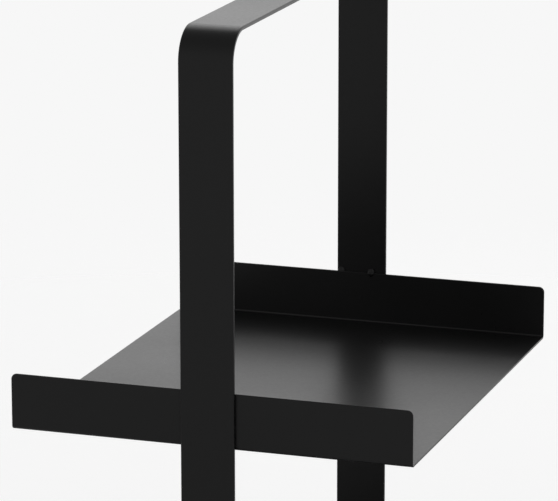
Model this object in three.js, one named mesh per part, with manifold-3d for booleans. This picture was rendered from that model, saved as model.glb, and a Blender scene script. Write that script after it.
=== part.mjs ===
// Tray stand: a steel flat-bar hoop that carries two folded sheet trays, on four screw-in levelling feet.
// Units are millimetres. X runs along the trays' open direction, Y from front to back, Z up.
// The origin is on the ground, under the middle of the stand.
import * as THREE from "three";
import { mergeVertices } from "three/addons/utils/BufferGeometryUtils.js";
import Module from "manifold-3d";

const wasm = await Module();
wasm.setup();

// ---- driving dimensions ----
const STAND_HEIGHT = 600;
const BAR_WIDTH = 40; // flat bar of the hoop
const BAR_THICK = 3;
const HOOP_BEND_OUTSIDE = 24; // outer radius of the hoop's two top corners
const TRAY_LENGTH = 300; // along X, open at both ends
const TRAY_DEPTH = 360; // along Y, over the flanges
const SHEET = 1.5; // tray sheet
const BEND_INSIDE = 1.5; // inside radius of the tray folds
const FLANGE_HEIGHT = 41.5; // from the tray's underside to the flange's top
const FLANGE_CORNER = 4.2; // rounding of each flange's two top corners
const HOOP_HEIGHT_OVER_TRAY = 300; // from the upper tray's underside to the hoop's top
const TOUCH_GAP = 0.3; // left between pieces that touch

// Levelling feet, stacked from the ground up
const SOLE_THICK = 1.5;
const SOLE_RADIUS = 11;
const PAD_HEIGHT = 5;
const PAD_RADIUS = 12.5;
const PAD_TOP_RADIUS = 8;
const PAD_RIM = 2.2; // from the sole's top to the top of the pad's straight edge
const PAD_SHOULDER = 1; // slope above that edge
const COLLAR_HEIGHT = 3;
const COLLAR_FLATS = 10; // across the flats of the hexagon
const BOSS_HEIGHT = 10;
const BOSS_RADIUS = 8;
const BOSS_CHAMFER = 0.6;
const STUD_RADIUS = 3; // M6 thread, drawn at its outside diameter
const STUD_CLEARANCE = 0.1;
const STUD_BOTTOM = 3; // the stud's lower end, in the pad's socket
const STUD_REACH = 9.4; // how far the stud goes up past its collar
const STUD_CHAMFER = 0.7;
const FOOT_INSET_X = 26; // from the tray's open end to the foot's axis
const FOOT_INSET_Y = 30; // from the flange's outer face to the foot's axis

// Welds
const TACKS = [
  { x: -16.4, half: [2.8, SHEET, 3.5] }, // a dome on the flange's top edge, near the bar's edge
  { x: 8.4, half: [3.3, 2.8, 3.8] }, // a drop that has run over the edge and down the flange's inner face
]; // x from the middle of the bar, and half-axes along X, Y and Z
const SEAM_LENGTH = 30;
const SEAM_CROWN = 0.4; // how far the seam bulges below the tray's underside
const SEAM_TOP_ANGLE = -0.6; // round the fold, where the groove gets too narrow for weld metal
const SEAM_LOW_ANGLE = -1.2; // where the weld metal ends, near the tray's underside

// ---- derived places ----
const PAD_TOP = SOLE_THICK + PAD_HEIGHT;
const COLLAR_BOTTOM = PAD_TOP + TOUCH_GAP;
const COLLAR_TOP = COLLAR_BOTTOM + COLLAR_HEIGHT;
const BOSS_BOTTOM = COLLAR_TOP + TOUCH_GAP;
const LOWER_TRAY_Z = BOSS_BOTTOM + BOSS_HEIGHT + TOUCH_GAP; // underside of the lower tray
const UPPER_TRAY_Z = STAND_HEIGHT - HOOP_HEIGHT_OVER_TRAY; // underside of the upper tray
const BAR_INNER_Y = TRAY_DEPTH / 2 + TOUCH_GAP; // the face of each upright that the trays meet
const BAR_OUTER_Y = BAR_INNER_Y + BAR_THICK;
const BEND_OUTSIDE = BEND_INSIDE + SHEET;

const ARC_STEPS = 12; // for a quarter turn of a bend
const ROUND_STEPS = 32; // for a full turn of a foot
const TACK_STEPS = 16; // for a full turn of a tack

// ---- materials ----
function finish(color, roughness, metalness) {
  return new THREE.MeshStandardMaterial({ color, roughness, metalness });
}
const POWDER_COAT = finish(0x1d1d1e, 0.35, 0.0);
const ZINC = finish(0x9a9c9e, 0.4, 1.0);
const NYLON = finish(0x141414, 0.55, 0.0);
const RUBBER = finish(0x232323, 0.9, 0.0);

// ---- solids: conversion and boolean helpers ----
function toSolid(geometry) {
  const bare = geometry.clone();
  bare.deleteAttribute("normal");
  bare.deleteAttribute("uv");
  const merged = mergeVertices(bare, 1e-4);
  return new wasm.Manifold(
    new wasm.Mesh({
      numProp: 3,
      vertProperties: new Float32Array(merged.attributes.position.array),
      triVerts: new Uint32Array(merged.index.array),
    }),
  );
}

function toGeometry(solid) {
  const mesh = solid.getMesh();
  const geometry = new THREE.BufferGeometry();
  geometry.setAttribute("position", new THREE.BufferAttribute(mesh.vertProperties, 3));
  geometry.setIndex(new THREE.BufferAttribute(mesh.triVerts, 1));
  geometry.computeVertexNormals();
  return geometry;
}

const join = (a, b) => toGeometry(toSolid(a).add(toSolid(b)));
const cut = (a, b) => toGeometry(toSolid(a).subtract(toSolid(b)));
const intersect = (a, b) => toGeometry(toSolid(a).intersect(toSolid(b)));

// ---- extrusion and turning helpers ----
// A shape drawn in (Y, Z) becomes a bar along X, centred on X = 0.
function extrudeAlongX(shape, length) {
  const geometry = new THREE.ExtrudeGeometry(shape, {
    depth: length,
    bevelEnabled: false,
    curveSegments: ARC_STEPS,
  });
  geometry.translate(0, 0, -length / 2);
  const turn = new THREE.Matrix4().makeBasis(
    new THREE.Vector3(0, 1, 0),
    new THREE.Vector3(0, 0, 1),
    new THREE.Vector3(1, 0, 0),
  );
  return geometry.applyMatrix4(turn);
}

// A shape drawn in (X, Z) becomes a block along Y, centred on Y = 0.
function extrudeAlongY(shape, length) {
  const geometry = new THREE.ExtrudeGeometry(shape, {
    depth: length,
    bevelEnabled: false,
    curveSegments: ARC_STEPS,
  });
  geometry.translate(0, 0, -length / 2);
  return geometry.rotateX(Math.PI / 2);
}

// A profile of [radius, height] points is turned round the Z axis.
function turned(profile, steps) {
  const points = profile.map(([r, z]) => new THREE.Vector2(r, z));
  return new THREE.LatheGeometry(points, steps).rotateX(Math.PI / 2);
}

// ---- the hoop: one flat bar bent into an upside-down U ----
function hoopGeometry() {
  const top = STAND_HEIGHT;
  const foot = LOWER_TRAY_Z;
  const outer = HOOP_BEND_OUTSIDE;
  const inner = HOOP_BEND_OUTSIDE - BAR_THICK;
  const bendY = BAR_OUTER_Y - outer; // centres of the two bends
  const bendZ = top - outer;
  const shape = new THREE.Shape();
  shape.moveTo(BAR_OUTER_Y, foot);
  shape.lineTo(BAR_OUTER_Y, bendZ);
  shape.absarc(bendY, bendZ, outer, 0, Math.PI / 2, false);
  shape.lineTo(-bendY, top);
  shape.absarc(-bendY, bendZ, outer, Math.PI / 2, Math.PI, false);
  shape.lineTo(-BAR_OUTER_Y, foot);
  shape.lineTo(-BAR_INNER_Y, foot);
  shape.lineTo(-BAR_INNER_Y, bendZ);
  shape.absarc(-bendY, bendZ, inner, Math.PI, Math.PI / 2, true);
  shape.lineTo(bendY, top - BAR_THICK);
  shape.absarc(bendY, bendZ, inner, Math.PI / 2, 0, true);
  shape.lineTo(BAR_INNER_Y, foot);
  shape.closePath();
  return extrudeAlongX(shape, BAR_WIDTH);
}

// ---- a tray: one sheet with its front and back edges folded up ----
function trayGeometry() {
  const y = TRAY_DEPTH / 2;
  const bend = y - BEND_OUTSIDE; // centre of each fold, in Y and in Z
  const channel = new THREE.Shape();
  channel.moveTo(-bend, 0);
  channel.lineTo(bend, 0);
  channel.absarc(bend, BEND_OUTSIDE, BEND_OUTSIDE, -Math.PI / 2, 0, false);
  channel.lineTo(y, FLANGE_HEIGHT);
  channel.lineTo(y - SHEET, FLANGE_HEIGHT);
  channel.lineTo(y - SHEET, BEND_OUTSIDE);
  channel.absarc(bend, BEND_OUTSIDE, BEND_INSIDE, 0, -Math.PI / 2, true);
  channel.lineTo(-bend, SHEET);
  channel.absarc(-bend, BEND_OUTSIDE, BEND_INSIDE, -Math.PI / 2, -Math.PI, true);
  channel.lineTo(SHEET - y, FLANGE_HEIGHT);
  channel.lineTo(-y, FLANGE_HEIGHT);
  channel.lineTo(-y, BEND_OUTSIDE);
  channel.absarc(-bend, BEND_OUTSIDE, BEND_OUTSIDE, Math.PI, 1.5 * Math.PI, false);
  channel.closePath();

  const half = TRAY_LENGTH / 2;
  const cornerZ = FLANGE_HEIGHT - FLANGE_CORNER;
  const side = new THREE.Shape();
  side.moveTo(-half, -SHEET);
  side.lineTo(half, -SHEET);
  side.lineTo(half, cornerZ);
  side.absarc(half - FLANGE_CORNER, cornerZ, FLANGE_CORNER, 0, Math.PI / 2, false);
  side.lineTo(FLANGE_CORNER - half, FLANGE_HEIGHT);
  side.absarc(FLANGE_CORNER - half, cornerZ, FLANGE_CORNER, Math.PI / 2, Math.PI, false);
  side.closePath();
  return intersect(
    extrudeAlongX(channel, TRAY_LENGTH + 2 * SHEET),
    extrudeAlongY(side, TRAY_DEPTH + 2 * SHEET),
  );
}

// ---- welds ----
// A tack is weld metal in the corner between the upright, at Y = 0, and the flange's top edge, at Z = 0.
function tackGeometry([x, y, z]) {
  const ball = new THREE.SphereGeometry(1, TACK_STEPS, TACK_STEPS / 2).scale(x, y, z);
  const inside = new THREE.BoxGeometry(4 * x, 2 * y, 4 * z).translate(0, -y, 0);
  const reach = SHEET + TOUCH_GAP; // keeps clear of the flange
  const flange = new THREE.BoxGeometry(4 * x, 2 * reach, 2 * z).translate(0, 0, TOUCH_GAP - z);
  return cut(intersect(ball, inside), flange);
}

// A seam fills the groove between the tray's fold and the upright. It is drawn in (Y, Z), with the
// upright's face at Y = 0 and the tray's underside at Z = 0.
function seamGeometry() {
  const foldY = -TOUCH_GAP - BEND_OUTSIDE;
  const radius = BEND_OUTSIDE + TOUCH_GAP;
  const at = (angle) => [foldY + radius * Math.cos(angle), BEND_OUTSIDE + radius * Math.sin(angle)];
  const [, topZ] = at(SEAM_TOP_ANGLE);
  const [lowY, lowZ] = at(SEAM_LOW_ANGLE);
  const shape = new THREE.Shape();
  shape.moveTo(-TOUCH_GAP, topZ);
  shape.absarc(foldY, BEND_OUTSIDE, radius, SEAM_TOP_ANGLE, SEAM_LOW_ANGLE, true);
  shape.quadraticCurveTo((lowY - TOUCH_GAP) / 2, lowZ - 2 * SEAM_CROWN, -TOUCH_GAP, lowZ);
  shape.closePath();
  return extrudeAlongX(shape, SEAM_LENGTH);
}

// ---- levelling feet ----
// Threaded boss, welded under the lower tray.
function bossGeometry() {
  const bore = STUD_RADIUS + STUD_CLEARANCE;
  const edge = BOSS_CHAMFER;
  const bottom = BOSS_BOTTOM;
  const top = BOSS_BOTTOM + BOSS_HEIGHT;
  return turned(
    [
      [bore + edge, bottom],
      [BOSS_RADIUS - edge, bottom],
      [BOSS_RADIUS, bottom + edge],
      [BOSS_RADIUS, top],
      [bore, top],
      [bore, bottom + edge],
      [bore + edge, bottom],
    ],
    ROUND_STEPS,
  );
}

// Screw with a hexagonal collar for the spanner.
function studGeometry() {
  const top = COLLAR_TOP + STUD_REACH;
  const shank = turned(
    [
      [0, STUD_BOTTOM],
      [STUD_RADIUS, STUD_BOTTOM],
      [STUD_RADIUS, top - STUD_CHAMFER],
      [STUD_RADIUS - STUD_CHAMFER, top],
      [0, top],
    ],
    ROUND_STEPS,
  );
  const corner = COLLAR_FLATS / Math.sqrt(3);
  const collar = new THREE.CylinderGeometry(corner, corner, COLLAR_HEIGHT, 6);
  collar.rotateX(Math.PI / 2).translate(0, 0, COLLAR_BOTTOM + COLLAR_HEIGHT / 2);
  return join(shank, collar);
}

// Moulded pad with a round socket that the stud turns in.
function padGeometry() {
  const socket = STUD_RADIUS + STUD_CLEARANCE;
  const socketFloor = STUD_BOTTOM - TOUCH_GAP;
  const bottom = SOLE_THICK + TOUCH_GAP;
  const rim = SOLE_THICK + PAD_RIM;
  return turned(
    [
      [0, bottom],
      [PAD_RADIUS, bottom],
      [PAD_RADIUS, rim],
      [PAD_RADIUS - PAD_SHOULDER, rim + PAD_SHOULDER],
      [PAD_TOP_RADIUS, PAD_TOP],
      [socket, PAD_TOP],
      [socket, socketFloor],
      [0, socketFloor],
    ],
    ROUND_STEPS,
  );
}

function soleGeometry() {
  return turned(
    [
      [0, 0],
      [SOLE_RADIUS, 0],
      [SOLE_RADIUS, SOLE_THICK],
      [0, SOLE_THICK],
    ],
    ROUND_STEPS,
  );
}

// ---- assembly ----
function named(name, geometry, material, x = 0, y = 0, z = 0) {
  const mesh = new THREE.Mesh(geometry, material);
  mesh.name = name;
  mesh.position.set(x, y, z);
  return mesh;
}

// The welds of one tray at one upright. The group for the front upright is the back one turned half round.
function weldGroup(tray, side) {
  const group = new THREE.Group();
  TACKS.forEach(({ x, half }, i) => {
    const name = `${tray}_tray_${side}_tack_${i + 1}`;
    group.add(named(name, tackGeometry(half), POWDER_COAT, x, BAR_INNER_Y - TOUCH_GAP, FLANGE_HEIGHT));
  });
  group.add(named(`${tray}_tray_${side}_seam_weld`, seamGeometry(), POWDER_COAT, 0, BAR_INNER_Y, 0));
  if (side === "front") group.rotation.z = Math.PI;
  return group;
}

function trayGroup(tray, height) {
  const group = new THREE.Group();
  group.position.z = height;
  group.add(named(`${tray}_tray`, trayGeometry(), POWDER_COAT));
  for (const side of ["front", "back"]) group.add(weldGroup(tray, side));
  return group;
}

function footGroup(place, x, y) {
  const group = new THREE.Group();
  group.position.set(x, y, 0);
  group.add(named(`foot_boss_${place}`, bossGeometry(), POWDER_COAT));
  group.add(named(`leveller_stud_${place}`, studGeometry(), ZINC));
  group.add(named(`leveller_pad_${place}`, padGeometry(), NYLON));
  group.add(named(`leveller_sole_${place}`, soleGeometry(), RUBBER));
  return group;
}

const stand = new THREE.Group();
stand.add(named("hoop", hoopGeometry(), POWDER_COAT));
stand.add(trayGroup("upper", UPPER_TRAY_Z));
stand.add(trayGroup("lower", LOWER_TRAY_Z));
const footX = TRAY_LENGTH / 2 - FOOT_INSET_X;
const footY = TRAY_DEPTH / 2 - FOOT_INSET_Y;
for (const [front, ySign] of [["front", -1], ["back", 1]]) {
  for (const [side, xSign] of [["left", -1], ["right", 1]]) {
    stand.add(footGroup(`${front}_${side}`, xSign * footX, ySign * footY));
  }
}

export default stand;
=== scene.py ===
import math

import bmesh
import bpy
from mathutils import Matrix, Vector, noise


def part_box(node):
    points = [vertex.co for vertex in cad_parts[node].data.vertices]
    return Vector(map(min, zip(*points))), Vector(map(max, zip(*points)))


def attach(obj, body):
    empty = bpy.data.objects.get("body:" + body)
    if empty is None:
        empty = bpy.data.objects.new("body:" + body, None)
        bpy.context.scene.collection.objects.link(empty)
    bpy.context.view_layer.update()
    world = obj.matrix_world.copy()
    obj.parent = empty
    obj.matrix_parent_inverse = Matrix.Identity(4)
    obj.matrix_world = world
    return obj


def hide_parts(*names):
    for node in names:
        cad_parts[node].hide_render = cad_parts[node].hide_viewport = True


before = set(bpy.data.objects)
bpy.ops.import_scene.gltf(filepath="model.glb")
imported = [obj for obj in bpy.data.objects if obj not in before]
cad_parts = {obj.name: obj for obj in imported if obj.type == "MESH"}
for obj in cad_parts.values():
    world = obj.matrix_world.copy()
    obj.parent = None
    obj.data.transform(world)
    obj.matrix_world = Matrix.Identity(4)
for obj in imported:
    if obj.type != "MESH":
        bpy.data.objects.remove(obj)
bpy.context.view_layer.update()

MM = 0.001
SCENE = bpy.context.scene

# ---- sizes of the fine surface (the places all come from the frame) ----
BAR_EDGE = 0.9 * MM  # rounding of the flat bar's long edges
SHEET_EDGE = 0.4 * MM  # rounding of the trays' cut edges
FLANGE_CORNER = 4.2 * MM  # rounding of each flange's two top corners
BAR_THICK = 3.0 * MM
SHEET_THICK = 1.5 * MM
HOOP_BEND = 24.0 * MM  # outer radius of the hoop's corners
TRAY_FOLD = 3.0 * MM  # outer radius of the trays' folds
BEND_STEPS = 24
FOLD_STEPS = 12
CROSS_STEP = 12 * MM  # between the crosswise edges of a long flat stretch
BAR_CROSS_STEP = 10 * MM  # between the lengthwise edges of the bar
WELD_REACH = 0.25 * MM  # how far weld metal fills the gap in front of the upright
TOUCH_GAP = 0.3 * MM  # left between pieces that touch

# ---- sizes of the levelling feet ----
STUD_RADIUS = 3.0 * MM
BORE_RADIUS = 3.1 * MM  # in the bosses and in the pads' sockets
THREAD_PITCH = 1.0 * MM
THREAD_DEPTH = 0.6 * MM
THREAD_ROWS = 8  # rows of points for each turn of the thread
STUD_STEPS = 48
COLLAR_HEIGHT = 3.0 * MM
COLLAR_EDGE = 0.3 * MM
BOSS_CHAMFER = 0.8 * MM
FLUTES = 24
FLUTE_DEPTH = 0.25 * MM
GROOVE_STARTS = (4.0, 7.6)  # inner radius of each groove under the sole, in mm
GROOVE_STEP = 0.4  # its depth, and the width of its slopes and floor, in mm

# ---- sizes of the welds ----
TACK_DETAIL = 5
CRATER_SPREAD = 0.16
CRATER_DEPTH = 0.30
CRATER_RIM = 0.05
SEAM_RIPPLE = 1.6 * MM
SEAM_TAPER = 1.5 * MM  # length of its rounded ends
SEAM_STEPS = 150
SEAM_ARC_STEPS = 10

PLACES = ("front_left", "front_right", "back_left", "back_right")
TRAYS = ("upper", "lower")
SIDES = ("front", "back")


# =====================================================================
# Camera
# =====================================================================
CAMERA_PLACE = (0.8298, -2.4877, 1.0513)
CAMERA_YAW = math.radians(18.617)  # left of +Y
CAMERA_PITCH = math.radians(13.917)  # below level
CAMERA_ROLL = math.radians(-0.052)
CAMERA_LENS = 234.2  # mm, on a sensor 36 mm wide


def add_camera():
    data = bpy.data.cameras.new("camera")
    data.sensor_width = 36.0
    data.lens = CAMERA_LENS
    data.clip_start = 0.05
    data.clip_end = 200.0
    camera = bpy.data.objects.new("camera", data)
    SCENE.collection.objects.link(camera)
    turn = (
        Matrix.Rotation(CAMERA_YAW, 4, "Z")
        @ Matrix.Rotation(math.pi / 2 - CAMERA_PITCH, 4, "X")
        @ Matrix.Rotation(CAMERA_ROLL, 4, "Z")
    )
    camera.matrix_world = Matrix.Translation(CAMERA_PLACE) @ turn
    SCENE.camera = camera


add_camera()


# =====================================================================
# Materials
# =====================================================================
class Nodes:
    """A material's node tree, with short ways to add and join nodes."""

    def __init__(self, name):
        self.material = bpy.data.materials.new(name)
        self.material.use_nodes = True
        self.tree = self.material.node_tree
        self.shader = self.tree.nodes["Principled BSDF"]
        self.place = self.tree.nodes.new("ShaderNodeTexCoord").outputs["Object"]

    def join(self, out, into):
        self.tree.links.new(out, into)

    def noise(self, scale, detail=2.0, roughness=0.5, stretch=None):
        node = self.tree.nodes.new("ShaderNodeTexNoise")
        node.inputs["Scale"].default_value = scale
        node.inputs["Detail"].default_value = detail
        node.inputs["Roughness"].default_value = roughness
        self.join(self.stretched(stretch), node.inputs["Vector"])
        return node.outputs["Fac"]

    def stretched(self, stretch):
        if stretch is None:
            return self.place
        node = self.tree.nodes.new("ShaderNodeMapping")
        node.inputs["Scale"].default_value = stretch
        self.join(self.place, node.inputs["Vector"])
        return node.outputs["Vector"]

    def speckle(self, scale, share):
        """Small soft dots, 0 outside and 1 in the middle, on about that share of the surface."""
        node = self.tree.nodes.new("ShaderNodeTexVoronoi")
        node.inputs["Scale"].default_value = scale
        self.join(self.place, node.inputs["Vector"])
        return self.ramp(node.outputs["Distance"], share, 0.0)

    def ramp(self, value, low, high, to_low=0.0, to_high=1.0):
        node = self.tree.nodes.new("ShaderNodeMapRange")
        node.inputs["From Min"].default_value = low
        node.inputs["From Max"].default_value = high
        node.inputs["To Min"].default_value = to_low
        node.inputs["To Max"].default_value = to_high
        self.join(value, node.inputs["Value"])
        return node.outputs["Result"]

    def mix_colour(self, factor, a, b):
        node = self.tree.nodes.new("ShaderNodeMix")
        node.data_type = "RGBA"
        node.inputs["A"].default_value = (*a, 1.0)
        node.inputs["B"].default_value = (*b, 1.0)
        self.join(factor, node.inputs["Factor"])
        return node.outputs["Result"]

    def mix_more(self, factor, under, over):
        node = self.tree.nodes.new("ShaderNodeMix")
        node.data_type = "RGBA"
        node.inputs["B"].default_value = (*over, 1.0)
        self.join(factor, node.inputs["Factor"])
        self.join(under, node.inputs["A"])
        return node.outputs["Result"]

    def maths(self, operation, a, b):
        node = self.tree.nodes.new("ShaderNodeMath")
        node.operation = operation
        for value, socket in zip((a, b), node.inputs):
            if isinstance(value, float):
                socket.default_value = value
            else:
                self.join(value, socket)
        return node.outputs["Value"]

    def edges(self, radius):
        """1 where the surface turns sharply within that radius, 0 on flat faces."""
        bevel = self.tree.nodes.new("ShaderNodeBevel")
        bevel.samples = 6
        bevel.inputs["Radius"].default_value = radius
        geometry = self.tree.nodes.new("ShaderNodeNewGeometry")
        dot = self.tree.nodes.new("ShaderNodeVectorMath")
        dot.operation = "DOT_PRODUCT"
        self.join(bevel.outputs["Normal"], dot.inputs[0])
        self.join(geometry.outputs["Normal"], dot.inputs[1])
        return self.ramp(dot.outputs["Value"], 0.995, 0.90)

    def bump(self, height, distance, strength=1.0, before=None):
        node = self.tree.nodes.new("ShaderNodeBump")
        node.inputs["Distance"].default_value = distance
        node.inputs["Strength"].default_value = strength
        self.join(height, node.inputs["Height"])
        if before is not None:
            self.join(before, node.inputs["Normal"])
        return node.outputs["Normal"]

    def set(self, **values):
        for name, value in values.items():
            self.shader.inputs[name.replace("_", " ")].default_value = value


def powder_coat(name, rough=0.310, grain=1.0):
    """Satin black powder coat: an orange-peel skin, faint cloudiness in gloss, slightly polished edges, and
    a paler colour along the edges as a painted highlight.
    """
    m = Nodes(name)
    m.set(Metallic=0.0, Specular_IOR_Level=0.229)
    cloud = m.noise(9.0, 3.0, 0.55)
    fine = m.noise(420.0, 2.0, 0.5)
    edge = m.edges(0.7 * MM)
    coat = m.mix_colour(m.ramp(cloud, 0.3, 0.7), (0.0061, 0.0061, 0.0062), (0.0075, 0.0075, 0.0076))
    # paler colour along sharp edges: a painted edge highlight, not wear
    coat_with_painted_edge_highlight = m.mix_more(m.maths("MULTIPLY", edge, 0.5), coat, (0.014, 0.014, 0.0145))
    m.join(coat_with_painted_edge_highlight, m.shader.inputs["Base Color"])
    even = m.ramp(cloud, 0.25, 0.75, rough - 0.025, rough + 0.025)
    speckled = m.maths("ADD", even, m.ramp(fine, 0.3, 0.7, -0.02, 0.02))
    m.join(m.maths("SUBTRACT", speckled, m.maths("MULTIPLY", edge, 0.06)), m.shader.inputs["Roughness"])
    peel = m.bump(m.noise(700.0, 2.0, 0.5), 0.012 * MM * grain)
    wave = m.bump(m.noise(140.0, 1.0, 0.5), 0.02 * MM * grain, before=peel)
    m.join(wave, m.shader.inputs["Normal"])
    return m.material


def zinc_plate():
    """Bright zinc with a fine turned grain and a few dull spots."""
    m = Nodes("zinc")
    m.set(Metallic=1.0)
    cloud = m.noise(160.0, 3.0, 0.6)
    dull = m.speckle(900.0, 0.25)
    bright = m.mix_colour(m.ramp(cloud, 0.3, 0.7), (0.50, 0.51, 0.53), (0.62, 0.62, 0.62))
    spotted = m.mix_more(m.maths("MULTIPLY", dull, 0.35), bright, (0.34, 0.34, 0.35))
    m.join(spotted, m.shader.inputs["Base Color"])
    m.join(m.ramp(cloud, 0.25, 0.75, 0.26, 0.42), m.shader.inputs["Roughness"])
    grain = m.noise(350.0, 2.0, 0.6, stretch=(1.0, 1.0, 14.0))
    m.join(m.bump(grain, 0.01 * MM), m.shader.inputs["Normal"])
    return m.material


def moulded_nylon():
    """Black nylon with the fine spark texture of its mould."""
    m = Nodes("black_nylon")
    m.set(Metallic=0.0, Specular_IOR_Level=0.45)
    cloud = m.noise(60.0, 3.0, 0.6)
    edge = m.edges(0.5 * MM)
    body = m.mix_colour(m.ramp(cloud, 0.3, 0.7), (0.010, 0.010, 0.011), (0.016, 0.016, 0.016))
    # paler colour along sharp edges: a painted edge highlight, not rubbing
    body_with_painted_edge_highlight = m.mix_more(m.maths("MULTIPLY", edge, 0.5), body, (0.04, 0.04, 0.04))
    m.join(body_with_painted_edge_highlight, m.shader.inputs["Base Color"])
    m.join(m.ramp(cloud, 0.25, 0.75, 0.46, 0.60), m.shader.inputs["Roughness"])
    m.join(m.bump(m.noise(2400.0, 2.0, 0.6), 0.02 * MM), m.shader.inputs["Normal"])
    return m.material


def sole_rubber():
    """Dull rubber with a little dust in it."""
    m = Nodes("black_rubber")
    m.set(Metallic=0.0, Specular_IOR_Level=0.3)
    cloud = m.noise(90.0, 4.0, 0.65)
    dust = m.speckle(1500.0, 0.3)
    body = m.mix_colour(m.ramp(cloud, 0.3, 0.7), (0.014, 0.014, 0.014), (0.024, 0.023, 0.022))
    dusty = m.mix_more(m.maths("MULTIPLY", dust, 0.25), body, (0.08, 0.078, 0.074))
    m.join(dusty, m.shader.inputs["Base Color"])
    m.join(m.ramp(cloud, 0.25, 0.75, 0.80, 0.95), m.shader.inputs["Roughness"])
    m.join(m.bump(m.noise(1200.0, 3.0, 0.6), 0.03 * MM), m.shader.inputs["Normal"])
    return m.material


COAT = powder_coat("coat")
WELD_COAT = powder_coat("coat_on_weld", rough=0.28, grain=0.6)
ZINC = zinc_plate()
NYLON = moulded_nylon()
RUBBER = sole_rubber()


# =====================================================================
# Mesh helpers
# =====================================================================
def add_piece(name, mesh_data, material, slot, body, *nodes):
    piece = bpy.data.objects.new(name, mesh_data)
    SCENE.collection.objects.link(piece)
    mesh_data.materials.append(material)
    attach(piece, body)
    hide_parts(*nodes)
    return piece


def finish_mesh(bm, name, smooth=True):
    bmesh.ops.recalc_face_normals(bm, faces=bm.faces)
    data = bpy.data.meshes.new(name)
    bm.to_mesh(data)
    bm.free()
    data.polygons.foreach_set("use_smooth", [smooth] * len(data.polygons))
    return data


def weigh_normals(piece):
    """Keeps broad faces flat and lets the small rounded edges carry the turn."""
    modifier = piece.modifiers.new("even_faces", "WEIGHTED_NORMAL")
    modifier.keep_sharp = False
    modifier.weight = 80


class BentPath:
    """The middle line of a bent plate in (Y, Z), as straight runs and arcs, found by length along it."""

    def __init__(self, start, heading):
        self.point = Vector(start)
        self.heading = heading
        self.parts = []
        self.length = 0.0

    def straight(self, length):
        self.parts.append(("straight", self.length, length, self.point.copy(), self.heading, 0.0))
        self.point = self.point + length * Vector((math.cos(self.heading), math.sin(self.heading)))
        self.length += length

    def arc(self, radius, angle):
        """Turns left for a positive angle."""
        turn = math.copysign(1.0, angle)
        length = radius * abs(angle)
        self.parts.append(("arc", self.length, length, self.point.copy(), self.heading, radius * turn))
        across = self.heading + turn * math.pi / 2
        centre = self.point + radius * Vector((math.cos(across), math.sin(across)))
        self.heading += angle
        back = self.heading - turn * math.pi / 2
        self.point = centre + radius * Vector((math.cos(back), math.sin(back)))
        self.length += length

    def at(self, along, off):
        """The (Y, Z) point at a length along the path, off its middle line towards its left."""
        last = len(self.parts) - 1
        for i, (kind, begin, length, point, heading, radius) in enumerate(self.parts):
            if along <= begin + length or i == last:
                step = along - begin
                break
        if kind == "straight":
            forward = Vector((math.cos(heading), math.sin(heading)))
            left = Vector((-forward.y, forward.x))
            return point + step * forward + off * left
        centre = point + radius * Vector((-math.sin(heading), math.cos(heading)))
        angle = heading + step / radius
        return centre - (radius - off) * Vector((-math.sin(angle), math.cos(angle)))

    def cuts(self, steps, straight_step):
        """Lengths along the path where the plate needs a crosswise edge."""
        found = []
        for kind, begin, length, *_ in self.parts:
            count = steps if kind == "arc" else max(1, round(length / straight_step))
            found += [begin + length * i / count for i in range(count + 1)]
        return sorted({round(v, 7) for v in found if 1e-5 < v < self.length - 1e-5})


def rounded_outline(half_x, length, corner):
    """A rectangle from 0 to length, with its four corners rounded by that radius."""
    if corner == 0.0:
        return [(-half_x, 0.0), (half_x, 0.0), (half_x, length), (-half_x, length)]
    points = []
    steps = 8
    centres = ((1, 0, -90), (1, 1, 0), (-1, 1, 90), (-1, 0, 180))
    for side, far, begin in centres:
        middle = (side * (half_x - corner), length - corner if far else corner)
        for i in range(steps + 1):
            angle = math.radians(begin + 90 * i / steps)
            points.append((middle[0] + corner * math.cos(angle), middle[1] + corner * math.sin(angle)))
    return points


def bent_plate(name, half_x, path, thick, corner, edge, steps, straight_step, cross_step):
    """A flat plate with rounded edges, folded or bent along a path in (Y, Z)."""
    bm = bmesh.new()
    rim = [bm.verts.new((x, along, -thick / 2)) for x, along in rounded_outline(half_x, path.length, corner)]
    base = bm.faces.new(rim)
    grown = bmesh.ops.extrude_face_region(bm, geom=[base])
    top = [v for v in grown["geom"] if isinstance(v, bmesh.types.BMVert)]
    bmesh.ops.translate(bm, verts=top, vec=(0, 0, thick))
    level = [e for e in bm.edges if abs(e.verts[0].co.z - e.verts[1].co.z) < 1e-7]
    upright = [e for e in bm.edges if e not in level] if corner == 0.0 else []
    bmesh.ops.bevel(bm, geom=level + upright, offset=edge, segments=4, profile=0.5, affect="EDGES")
    along_cuts = [((0, v, 0), (0, 1, 0)) for v in path.cuts(steps, straight_step)]
    count = max(1, round(2 * half_x / cross_step))
    cross_cuts = [((2 * half_x * i / count - half_x, 0, 0), (1, 0, 0)) for i in range(1, count)]
    for place, normal in along_cuts + cross_cuts:
        everything = bm.verts[:] + bm.edges[:] + bm.faces[:]
        bmesh.ops.bisect_plane(bm, geom=everything, plane_co=place, plane_no=normal, dist=1e-7)
    for v in bm.verts:
        y, z = path.at(v.co.y, v.co.z)
        v.co = (v.co.x, y, z)
    return finish_mesh(bm, name)


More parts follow.
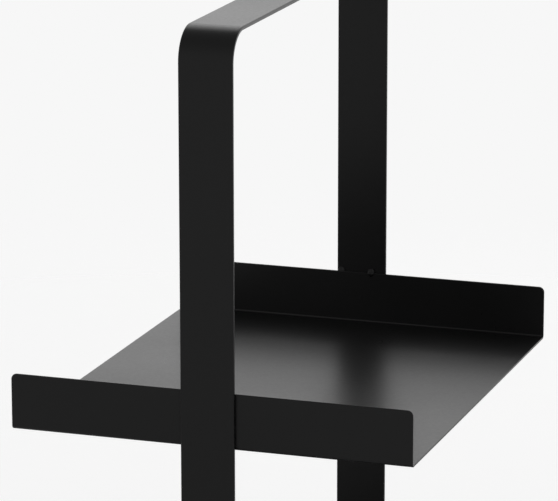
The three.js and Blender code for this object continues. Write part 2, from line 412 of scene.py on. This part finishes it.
def turned_mesh(name, profile, steps, centre, waves=None):
    """A profile of (radius, height) turned round Z. waves(angle, radius, height) moves the radius."""
    bm = bmesh.new()
    rings = []
    for radius, height in profile:
        if radius < 1e-7:
            rings.append([bm.verts.new((centre[0], centre[1], centre[2] + height))])
            continue
        ring = []
        for i in range(steps):
            angle = 2 * math.pi * i / steps
            r = radius if waves is None else waves(angle, radius, height)
            across = (centre[0] + r * math.cos(angle), centre[1] + r * math.sin(angle))
            ring.append(bm.verts.new((*across, centre[2] + height)))
        rings.append(ring)
    for low, high in zip(rings, rings[1:]):
        for i in range(steps):
            j = (i + 1) % steps
            corners = [low[i % len(low)], low[j % len(low)], high[j % len(high)], high[i % len(high)]]
            distinct = list(dict.fromkeys(corners))
            if len(distinct) > 2:
                bm.faces.new(distinct)
    return finish_mesh(bm, name)


def rounded_profile(points, radius, steps=4):
    """Rounds every inner corner of a (radius, height) profile."""
    done = [points[0]]
    for before, here, after in zip(points, points[1:], points[2:]):
        a, b, c = (Vector(p) for p in (before, here, after))
        reach = min(radius, 0.45 * (a - b).length, 0.45 * (c - b).length)
        start = b + reach * (a - b).normalized()
        end = b + reach * (c - b).normalized()
        for i in range(steps + 1):
            t = i / steps
            done.append(tuple((1 - t) ** 2 * start + 2 * t * (1 - t) * b + t * t * end))
    return done + [points[-1]]


# =====================================================================
# The hoop
# =====================================================================
def make_hoop():
    low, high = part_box("hoop")
    middle_bend = HOOP_BEND - BAR_THICK / 2
    leg = high.z - HOOP_BEND - low.z
    path = BentPath((high.y - BAR_THICK / 2, low.z), math.pi / 2)
    path.straight(leg)
    path.arc(middle_bend, math.pi / 2)
    path.straight(high.y - low.y - 2 * HOOP_BEND)
    path.arc(middle_bend, math.pi / 2)
    path.straight(leg)
    half_x = (high.x - low.x) / 2
    steps = (BEND_STEPS, CROSS_STEP, BAR_CROSS_STEP)
    data = bent_plate("hoop_bar", half_x, path, BAR_THICK, 0.0, BAR_EDGE, *steps)
    weigh_normals(add_piece("hoop_bar", data, COAT, "powder_coat", "stand", "hoop"))


# =====================================================================
# The trays
# =====================================================================
def make_tray(tray):
    node = f"{tray}_tray"
    low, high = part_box(node)
    middle_fold = TRAY_FOLD - SHEET_THICK / 2
    flange = high.z - low.z - TRAY_FOLD
    path = BentPath((low.y + SHEET_THICK / 2, high.z), -math.pi / 2)
    path.straight(flange)
    path.arc(middle_fold, math.pi / 2)
    path.straight(high.y - low.y - 2 * TRAY_FOLD)
    path.arc(middle_fold, math.pi / 2)
    path.straight(flange)
    half_x = (high.x - low.x) / 2
    name = f"{tray}_tray_sheet"
    steps = (FOLD_STEPS, CROSS_STEP, CROSS_STEP)
    data = bent_plate(name, half_x, path, SHEET_THICK, FLANGE_CORNER, SHEET_EDGE, *steps)
    weigh_normals(add_piece(name, data, COAT, "powder_coat", "stand", node))


# =====================================================================
# Welds
# =====================================================================
def make_tack(node, tray, seed):
    """A drop of weld metal on the flange's top edge, flat against the upright, with the arc's crater."""
    low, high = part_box(node)
    edge_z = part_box(f"{tray}_tray")[1].z
    front = low.y < 0
    wall_y = low.y if front else high.y
    out = 1 if front else -1  # from the upright over the flange
    centre = Vector(((low.x + high.x) / 2, wall_y, edge_z))
    half = Vector(((high.x - low.x) / 2, high.y - low.y, high.z - edge_z))
    crater_way = Vector((0.1, 0.75 * out, 0.6)).normalized()
    bm = bmesh.new()
    bmesh.ops.create_icosphere(bm, subdivisions=TACK_DETAIL, radius=1.0)
    for v in bm.verts:
        way = v.co.normalized()
        lumps = 0.10 * noise.noise(2.0 * way + Vector((seed, 2 * seed, 0))) + 0.03 * noise.noise(6.0 * way)
        off = (1 - way.dot(crater_way)) / CRATER_SPREAD
        crater = CRATER_DEPTH * math.exp(-(off**2))
        rim = CRATER_RIM * math.exp(-((off - 1.7) ** 2))
        reach = min(1.0, 0.95 + lumps + rim) - crater
        place = Vector([way[i] * half[i] * reach for i in range(3)])
        place.y = out * max(-WELD_REACH, out * place.y)
        v.co = centre + place
    data = finish_mesh(bm, f"{node}_drop")
    add_piece(f"{node}_drop", data, WELD_COAT, "weld_metal", "stand", node)


def make_seam(node, seed):
    """A fillet of weld metal along the fold's groove, with the ripples of a moving arc."""
    low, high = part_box(node)
    front = low.y < 0
    wall_y = low.y if front else high.y
    out = 1 if front else -1
    deep = high.y - low.y
    tall = high.z - low.z
    length = high.x - low.x
    bm = bmesh.new()
    rings = []
    for i in range(SEAM_STEPS + 1):
        x = low.x + length * i / SEAM_STEPS
        to_end = min(i, SEAM_STEPS - i) / SEAM_STEPS * length
        taper = min(1.0, math.sqrt(max(0.02, to_end / SEAM_TAPER)))
        wave = (x / SEAM_RIPPLE) % 1.0
        swell = 0.90 + 0.10 * math.sin(math.pi * wave) + 0.04 * noise.noise(Vector((400 * x, seed, 0)))
        reach = taper * min(1.0, swell)
        bow = 0.5 * MM if to_end > SEAM_RIPPLE else 0.0
        ring = []
        for j in range(SEAM_ARC_STEPS + 1):
            turn = math.pi / 2 * j / SEAM_ARC_STEPS
            y = wall_y + out * deep * reach * math.sin(turn)
            z = high.z - tall * reach * math.cos(turn)
            ring.append(bm.verts.new((x + bow * math.sin(2 * turn), y, z)))
        ring.append(bm.verts.new((x, wall_y, high.z)))
        rings.append(ring)
    size = SEAM_ARC_STEPS + 2
    for one, two in zip(rings, rings[1:]):
        for j in range(size):
            k = (j + 1) % size
            bm.faces.new((one[j], one[k], two[k], two[j]))
    bm.faces.new(rings[0])
    bm.faces.new(rings[-1])
    data = finish_mesh(bm, f"{node}_bead")
    add_piece(f"{node}_bead", data, WELD_COAT, "weld_metal", "stand", node)


# =====================================================================
# Levelling feet
# =====================================================================
def axis_of(node):
    low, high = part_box(node)
    return ((low.x + high.x) / 2, (low.y + high.y) / 2), low.z, high.z


def make_boss(place):
    node = f"foot_boss_{place}"
    (x, y), bottom, top = axis_of(node)
    low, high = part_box(node)
    outer = (high.x - low.x) / 2
    tall = top - bottom
    profile = [
        (BORE_RADIUS, tall),
        (BORE_RADIUS, BOSS_CHAMFER),
        (BORE_RADIUS + BOSS_CHAMFER, 0.0),
        (outer - BOSS_CHAMFER, 0.0),
        (outer, BOSS_CHAMFER),
        (outer, tall),
        (BORE_RADIUS, tall),
    ]
    data = turned_mesh(f"{node}_turned", rounded_profile(profile, 0.25 * MM), 64, (x, y, bottom))
    add_piece(f"{node}_turned", data, COAT, "powder_coat", "stand", node)


def make_stud(place):
    """Threaded stud with a hexagonal collar."""
    node = f"leveller_stud_{place}"
    (x, y), bottom, top = axis_of(node)
    low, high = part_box(node)
    corner = max(high.x - low.x, high.y - low.y) / 2
    flats = corner * math.cos(math.pi / 6)
    collar_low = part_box(f"leveller_pad_{place}")[1].z + TOUCH_GAP
    collar_high = collar_low + COLLAR_HEIGHT
    bm = bmesh.new()
    begin = collar_high + 0.1 * MM
    rows = round((top - 0.35 * MM - begin) / THREAD_PITCH * THREAD_ROWS)

    def ring(z, radius_at):
        points = []
        for i in range(STUD_STEPS):
            angle = 2 * math.pi * i / STUD_STEPS
            reach = radius_at(angle)
            points.append(bm.verts.new((x + reach * math.cos(angle), y + reach * math.sin(angle), z)))
        return points

    def round_at(radius):
        return lambda angle: radius

    def hexagon(scale):
        def radius_at(angle):
            off = (angle + math.pi / 6) % (math.pi / 3) - math.pi / 6
            return min(scale * flats / math.cos(off), 0.97 * corner)

        return radius_at

    def thread(z, fade):
        def radius_at(angle):
            phase = ((z - begin) / THREAD_PITCH - angle / (2 * math.pi)) % 1.0
            return STUD_RADIUS - fade * THREAD_DEPTH * min(1.0, 1.15 * (1 - abs(2 * phase - 1)))

        return radius_at

    rings = [
        ring(bottom, round_at(STUD_RADIUS - 0.3 * MM)),
        ring(bottom + 0.3 * MM, round_at(STUD_RADIUS)),
        ring(collar_low, round_at(STUD_RADIUS)),
        ring(collar_low, hexagon(0.93)),
        ring(collar_low + COLLAR_EDGE, hexagon(1.0)),
        ring(collar_high - COLLAR_EDGE, hexagon(1.0)),
        ring(collar_high, hexagon(0.93)),
        ring(collar_high, round_at(STUD_RADIUS)),
    ]
    for k in range(rows + 1):
        z = begin + k * THREAD_PITCH / THREAD_ROWS
        fade = min(1.0, k / THREAD_ROWS, (rows - k) / THREAD_ROWS)
        rings.append(ring(z, thread(z, fade)))
    rings.append(ring(top, round_at(STUD_RADIUS - 0.5 * MM)))
    for one, two in zip(rings, rings[1:]):
        for i in range(STUD_STEPS):
            j = (i + 1) % STUD_STEPS
            bm.faces.new((one[i], one[j], two[j], two[i]))
    bm.faces.new(rings[0])
    bm.faces.new(rings[-1])
    data = finish_mesh(bm, f"{node}_screw")
    data.polygons.foreach_set("use_smooth", [p.area < 4e-6 for p in data.polygons])
    weigh_normals(add_piece(f"{node}_screw", data, ZINC, "zinc_plate", f"screw_{place}", node))


def make_pad(place):
    """Moulded pad with a raised socket and grip flutes round its rim."""
    node = f"leveller_pad_{place}"
    (x, y), bottom, top = axis_of(node)
    low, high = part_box(node)
    outer = (high.x - low.x) / 2
    socket_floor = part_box(f"leveller_stud_{place}")[0].z - TOUCH_GAP - bottom
    tall = top - bottom
    profile = [
        (0.0, 0.0),
        (outer, 0.0),
        (outer, 1.9 * MM),
        (outer - 1.0 * MM, 2.9 * MM),
        (8.2 * MM, tall - 0.6 * MM),
        (7.4 * MM, tall),
        (BORE_RADIUS, tall),
        (BORE_RADIUS, socket_floor),
        (0.0, socket_floor),
    ]

    def fluted(angle, radius, height):
        at_rim = max(0.0, 1 - abs(radius - outer) / (1.2 * MM))
        return radius - at_rim * FLUTE_DEPTH * (0.5 - 0.5 * math.cos(FLUTES * angle))

    outline = rounded_profile(profile, 0.6 * MM)
    data = turned_mesh(f"{node}_moulding", outline, 6 * FLUTES, (x, y, bottom), fluted)
    add_piece(f"{node}_moulding", data, NYLON, "nylon", f"leveller_{place}", node)


def make_sole(place):
    """Rubber disc with a bulged edge and two round grooves underneath."""
    node = f"leveller_sole_{place}"
    (x, y), bottom, top = axis_of(node)
    low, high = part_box(node)
    outer = (high.x - low.x) / 2
    tall = top - bottom
    profile = [(0.0, 0.0)]
    for start in GROOVE_STARTS:
        for steps_out, depth in ((0, 0.0), (1, GROOVE_STEP), (2, GROOVE_STEP), (3, 0.0)):
            profile.append(((start + steps_out * GROOVE_STEP) * MM, depth * MM))
    profile += [
        (outer - 0.4 * MM, 0.0),
        (outer, 0.45 * tall),
        (outer - 0.3 * MM, tall),
        (0.0, tall),
    ]
    data = turned_mesh(f"{node}_disc", rounded_profile(profile, 0.2 * MM), 64, (x, y, bottom))
    add_piece(f"{node}_disc", data, RUBBER, "sole_rubber", f"leveller_{place}", node)


# =====================================================================
# Studio: floor, world and lamp
# =====================================================================
BACKDROP = 0.93  # the even tone that the camera sees behind the stand
FLOOR_LIFT_FRONT = 0.45  # brings the lit floor up to that tone, for the camera alone, FLOOR_REACH in front
FLOOR_LIFT_BACK = 0.22  # and FLOOR_REACH behind, where the lamp is nearer
FLOOR_REACH = 1.3
FLOOR_FULL = 0.9  # the floor is solid out to here, in metres
FLOOR_GONE = 1.9  # and has faded into the backdrop from here on


def add_floor():
    """A pale round floor that takes the soft shadow and fades out into the backdrop."""
    bm = bmesh.new()
    bmesh.ops.create_circle(bm, cap_ends=True, segments=96, radius=FLOOR_GONE)
    data = finish_mesh(bm, "floor", smooth=False)
    floor = bpy.data.objects.new("floor", data)
    SCENE.collection.objects.link(floor)
    m = Nodes("pale_floor")
    m.set(Roughness=1.0, Specular_IOR_Level=0.0)
    pale = m.mix_colour(m.ramp(m.noise(0.7), 0.2, 0.8), (0.82, 0.82, 0.82), (0.83, 0.83, 0.83))
    m.join(pale, m.shader.inputs["Base Color"])
    m.set(Emission_Color=(1.0, 1.0, 1.0, 1.0))
    rays = m.tree.nodes.new("ShaderNodeLightPath")
    split = m.tree.nodes.new("ShaderNodeSeparateXYZ")
    m.join(m.place, split.inputs["Vector"])
    lift = m.ramp(split.outputs["Y"], -FLOOR_REACH, FLOOR_REACH, FLOOR_LIFT_FRONT, FLOOR_LIFT_BACK)
    m.join(m.maths("MULTIPLY", rays.outputs["Is Camera Ray"], lift), m.shader.inputs["Emission Strength"])
    reach = m.tree.nodes.new("ShaderNodeVectorMath")
    reach.operation = "LENGTH"
    m.join(m.place, reach.inputs[0])
    fade = m.ramp(reach.outputs["Value"], FLOOR_FULL, FLOOR_GONE - 0.05, 1.0, 0.0)
    fade.node.interpolation_type = "SMOOTHSTEP"
    m.join(fade, m.shader.inputs["Alpha"])
    data.materials.append(m.material)


def graded(tree, value, begin, end, low, high):
    node = tree.nodes.new("ShaderNodeMapRange")
    node.interpolation_type = "SMOOTHSTEP"
    for name, number in (("From Min", begin), ("From Max", end), ("To Min", low), ("To Max", high)):
        node.inputs[name].default_value = number
    tree.links.new(value, node.inputs["Value"])
    return node


def add_world(dim, bright, overhead):
    """Bright behind the stand, dimmer in front of it. The camera itself sees one even tone."""
    world = bpy.data.worlds.new("studio")
    SCENE.world = world
    world.use_nodes = True
    tree = world.node_tree
    place = tree.nodes.new("ShaderNodeTexCoord")
    split = tree.nodes.new("ShaderNodeSeparateXYZ")
    tree.links.new(place.outputs["Generated"], split.inputs["Vector"])
    back = graded(tree, split.outputs["Y"], 0.3, 1.0, dim, bright)
    back.name = "back"
    up = graded(tree, split.outputs["Z"], 0.2, 1.0, 1.0, overhead)
    up.name = "up"
    light = tree.nodes.new("ShaderNodeMath")
    light.operation = "MULTIPLY"
    tree.links.new(back.outputs["Result"], light.inputs[0])
    tree.links.new(up.outputs["Result"], light.inputs[1])
    rays = tree.nodes.new("ShaderNodeLightPath")
    choose = tree.nodes.new("ShaderNodeMix")
    tree.links.new(rays.outputs["Is Camera Ray"], choose.inputs["Factor"])
    tree.links.new(light.outputs["Value"], choose.inputs["A"])
    choose.inputs["B"].default_value = BACKDROP
    sky = tree.nodes["Background"]
    tree.links.new(choose.outputs["Result"], sky.inputs["Strength"])
    sky.inputs["Color"].default_value = (1, 1, 1, 1)


def add_lamp(name, place, target, size, power):
    data = bpy.data.lights.new(name, "AREA")
    data.shape = "RECTANGLE"
    data.size, data.size_y = size
    data.energy = power
    lamp = bpy.data.objects.new(name, data)
    SCENE.collection.objects.link(lamp)
    lamp.location = place
    lamp.rotation_euler = (Vector(target) - Vector(place)).to_track_quat("-Z", "Y").to_euler()


def light_studio():
    SCENE.view_settings.view_transform = "Standard"
    add_world(dim=0.65, bright=1.35, overhead=0.536)
    add_lamp("overhead", (0.0, 3.32, 3.0), (0.0, 3.32, 0.0), (4.0, 4.0), 70.6)


make_hoop()
for tray_name in TRAYS:
    make_tray(tray_name)
    for number, side in enumerate(SIDES):
        prefix = f"{tray_name}_tray_{side}"
        make_tack(f"{prefix}_tack_1", tray_name, 1.7 + number)
        make_tack(f"{prefix}_tack_2", tray_name, 5.3 + number)
        make_seam(f"{prefix}_seam_weld", 9.1 + number)
for foot in PLACES:
    make_boss(foot)
    make_stud(foot)
    make_pad(foot)
    make_sole(foot)
add_floor()
light_studio()
